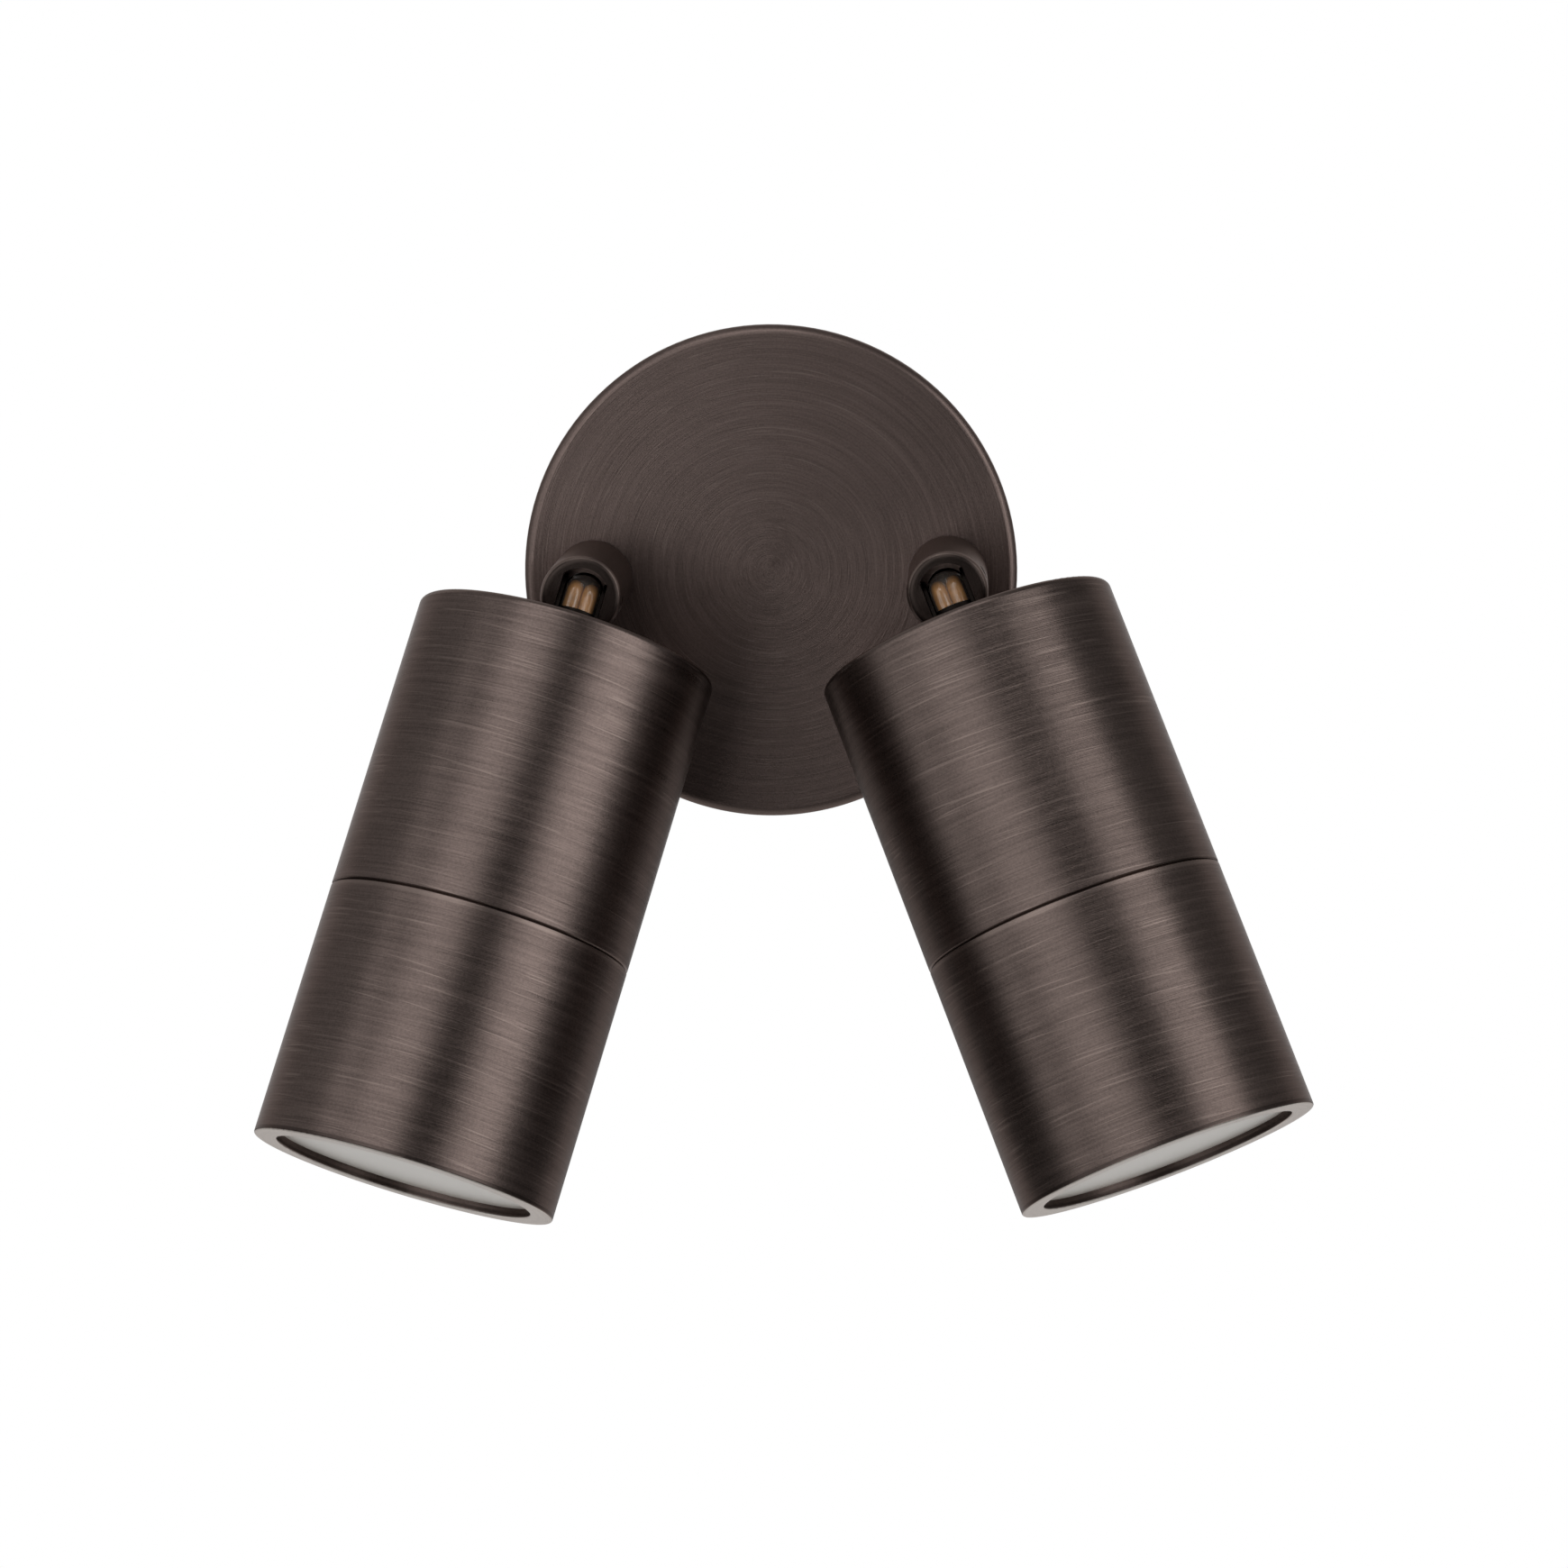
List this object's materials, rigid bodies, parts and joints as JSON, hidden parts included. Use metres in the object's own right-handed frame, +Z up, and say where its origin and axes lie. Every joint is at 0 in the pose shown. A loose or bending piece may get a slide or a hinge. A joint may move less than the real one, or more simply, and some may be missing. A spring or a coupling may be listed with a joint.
{
  "type": "pivoting spotlight wall light",
  "caption": "Twin wall spot: round canopy, two swivelling slotted posts and two tilting cylindrical lamp heads in dark brushed brass.",
  "frame": {"origin": "centre of the mounting bracket's back face, on the wall and on the canopy's axis", "axes": "+Z up, +Y into the wall, -Y out into the room, +X to the right as seen from the room"},
  "size_m": [0.2041, 0.12, 0.1725],
  "materials": {
    "canopy_brass": "dark burnished brass, turned, brushed in circles",
    "post_brass": "dark burnished brass, turned",
    "head_brass": "dark burnished brass, brushed round the head",
    "dark_screw": "blackened steel",
    "bright_brass": "machined brass",
    "zinc_steel": "zinc plated sheet",
    "black_rubber": "matt",
    "foam": "closed-cell foam",
    "terminal_plastic": "moulded",
    "nylon": "moulded",
    "amber_wire": "amber silicone insulation",
    "clear_silicone": "clear silicone",
    "seal_silicone": "translucent silicone",
    "front_glass": "satin",
    "lamp_glass": "clear reflector lamp",
    "ceramic": "glazed ceramic"
  },
  "bodies": {
    "root": {"canopy": "canopy_brass", "wall_gasket": "foam", "mounting_bracket": "zinc_steel", "canopy_screws": "dark_screw", "cable_grommet": "black_rubber", "terminal_block": "terminal_plastic", "terminal_screws": "bright_brass", "terminal_fixing_screw": "zinc_steel", "earth_screw": "bright_brass", "post_washer_left": "nylon", "canopy_wires_left": "amber_wire", "post_washer_right": "nylon", "canopy_wires_right": "amber_wire"},
    "left_post": {"post_left": "post_brass", "post_spring_washer_left": "zinc_steel", "post_nut_left": "bright_brass", "pivot_screws_left": "dark_screw"},
    "left_head": {"stem_left": "bright_brass", "stem_seal_left": "black_rubber", "stem_washer_left": "zinc_steel", "stem_nut_left": "bright_brass", "sleeve_left": "clear_silicone", "wires_left": "amber_wire", "rear_body_left": "head_brass", "rear_plate_left": "head_brass", "seam_ring_left": "black_rubber", "front_body_left": "head_brass", "glass_left": "front_glass", "glass_gasket_left": "seal_silicone", "glass_ring_left": "zinc_steel", "lamp_left": "lamp_glass", "lamp_holder_left": "ceramic", "holder_bracket_left": "zinc_steel", "holder_screws_left": "zinc_steel"},
    "right_post": {"post_right": "post_brass", "post_spring_washer_right": "zinc_steel", "post_nut_right": "bright_brass", "pivot_screws_right": "dark_screw"},
    "right_head": {"stem_right": "bright_brass", "stem_seal_right": "black_rubber", "stem_washer_right": "zinc_steel", "stem_nut_right": "bright_brass", "sleeve_right": "clear_silicone", "wires_right": "amber_wire", "rear_body_right": "head_brass", "rear_plate_right": "head_brass", "seam_ring_right": "black_rubber", "front_body_right": "head_brass", "glass_right": "front_glass", "glass_gasket_right": "seal_silicone", "glass_ring_right": "zinc_steel", "lamp_right": "lamp_glass", "lamp_holder_right": "ceramic", "holder_bracket_right": "zinc_steel", "holder_screws_right": "zinc_steel"}
  },
  "joints": [
    {"name": "left_swivel", "type": "hinge", "parent": "root", "child": "left_post", "pos_m": [-0.036, -0.02, -0.001], "axis": [0, 1, 0], "range_deg": [-17.4, 162.6], "deforming": ["canopy_wires_left"]},
    {"name": "left_tilt", "type": "hinge", "parent": "left_post", "child": "left_head", "pos_m": [-0.036, -0.052, -0.001], "axis": [-0.9542, 0, 0.299], "range_deg": [-19.25, 70.75], "deforming": ["sleeve_left", "wires_left"]},
    {"name": "right_swivel", "type": "hinge", "parent": "root", "child": "right_post", "pos_m": [0.036, -0.02, -0.001], "axis": [0, -1, 0], "range_deg": [-21.05, 158.95], "deforming": ["canopy_wires_right"]},
    {"name": "right_tilt", "type": "hinge", "parent": "right_post", "child": "right_head", "pos_m": [0.036, -0.052, -0.001], "axis": [-0.9333, 0, -0.3592], "range_deg": [-17.2, 72.8], "deforming": ["sleeve_right", "wires_right"]}
  ]
}
